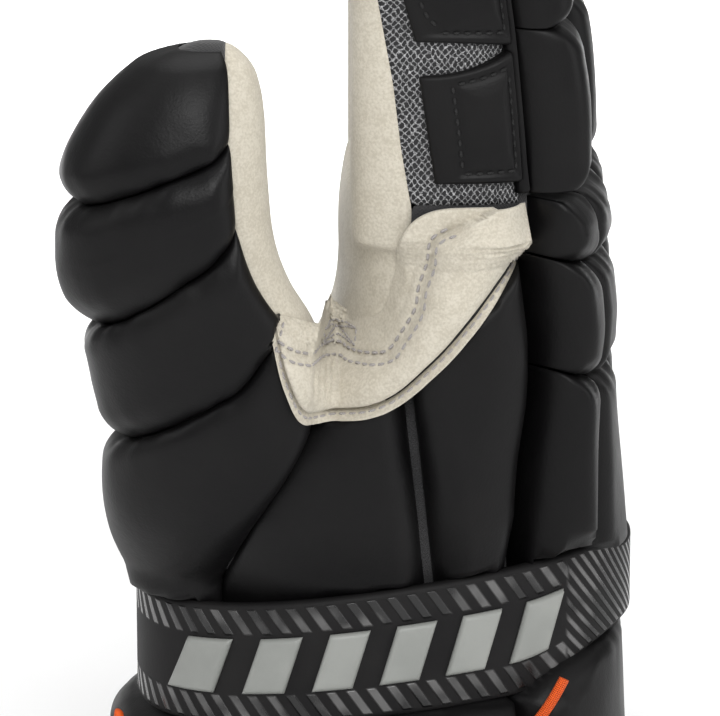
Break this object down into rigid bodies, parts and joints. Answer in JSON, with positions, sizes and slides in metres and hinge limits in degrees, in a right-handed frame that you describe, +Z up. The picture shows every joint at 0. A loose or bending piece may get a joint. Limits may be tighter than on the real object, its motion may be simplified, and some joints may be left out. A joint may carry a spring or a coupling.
{
  "type": "lacrosse glove",
  "caption": "Padded lacrosse glove for the right hand: black foam pads on thumb, fingers and back, cream leather palm, knit mesh finger sides, rubber wrist strap, orange laces",
  "frame": {"origin": "middle of the box round the glove, at the floor under the cuff's rim", "axes": "+Z up from the cuff to the fingertips, +X toward the back of the hand, -X the palm, -Y the thumb side, +Y the little-finger side"},
  "size_m": [0.1582, 0.1608, 0.3301],
  "materials": {
    "leather": "soft grained suede leather, cream",
    "padding": "smooth satin synthetic leather over foam, black",
    "lining": "matt black cloth",
    "mesh": "open knit, grey threads on black",
    "rubber": "moulded rubber, satin with glossy hatch",
    "bar": "raised moulded rubber, light grey",
    "webbing": "ribbed woven elastic",
    "lace": "woven flat lace, orange"
  },
  "bodies": {
    "root": {"index_roll_1": "padding", "index_roll_2": "padding", "index_roll_3": "padding", "middle_roll_1": "padding", "middle_roll_2": "padding", "middle_roll_3": "padding", "ring_roll_1": "padding", "ring_roll_2": "padding", "ring_roll_3": "padding", "little_roll_1": "padding", "little_roll_2": "padding", "little_roll_3": "padding", "knuckle_pad_1": "padding", "knuckle_pad_2": "padding", "knuckle_pad_3": "padding", "knuckle_pad_4": "padding", "hand_pad_1": "padding", "hand_pad_2": "padding", "hand_pad_3": "padding", "hand_pad_4": "padding", "wrist_pad_1": "padding", "wrist_pad_2": "padding", "wrist_pad_3": "padding", "wrist_pad_4": "padding", "thumb_pad_base": "padding", "thumb_pad_lower": "padding", "thumb_pad_upper": "padding", "thumb_pad_tip": "padding", "side_panel_front": "padding", "side_panel_back": "padding", "web_leather": "leather", "heel_panel_lower": "padding", "heel_panel_upper": "padding", "index_patch_lower": "padding", "index_patch_upper": "padding", "index_patch_tip": "padding", "index_piping": "padding", "palm_leather": "leather", "thumb_backing": "lining", "back_liner": "lining", "gusset_index": "mesh", "gusset_middle": "mesh", "gusset_ring": "mesh", "gusset_little": "mesh", "strap_band": "rubber", "strap_webbing": "webbing", "strap_bar_1": "bar", "strap_bar_2": "bar", "strap_bar_3": "bar", "strap_bar_4": "bar", "strap_bar_5": "bar", "strap_bar_6": "bar", "cuff_pad_back": "padding", "cuff_pad_heel": "padding", "cuff_pad_palm": "padding", "cuff_pad_front": "padding", "lace_1": "lace", "lace_2": "lace", "lace_3": "lace", "lace_4": "lace"}
  },
  "joints": []
}
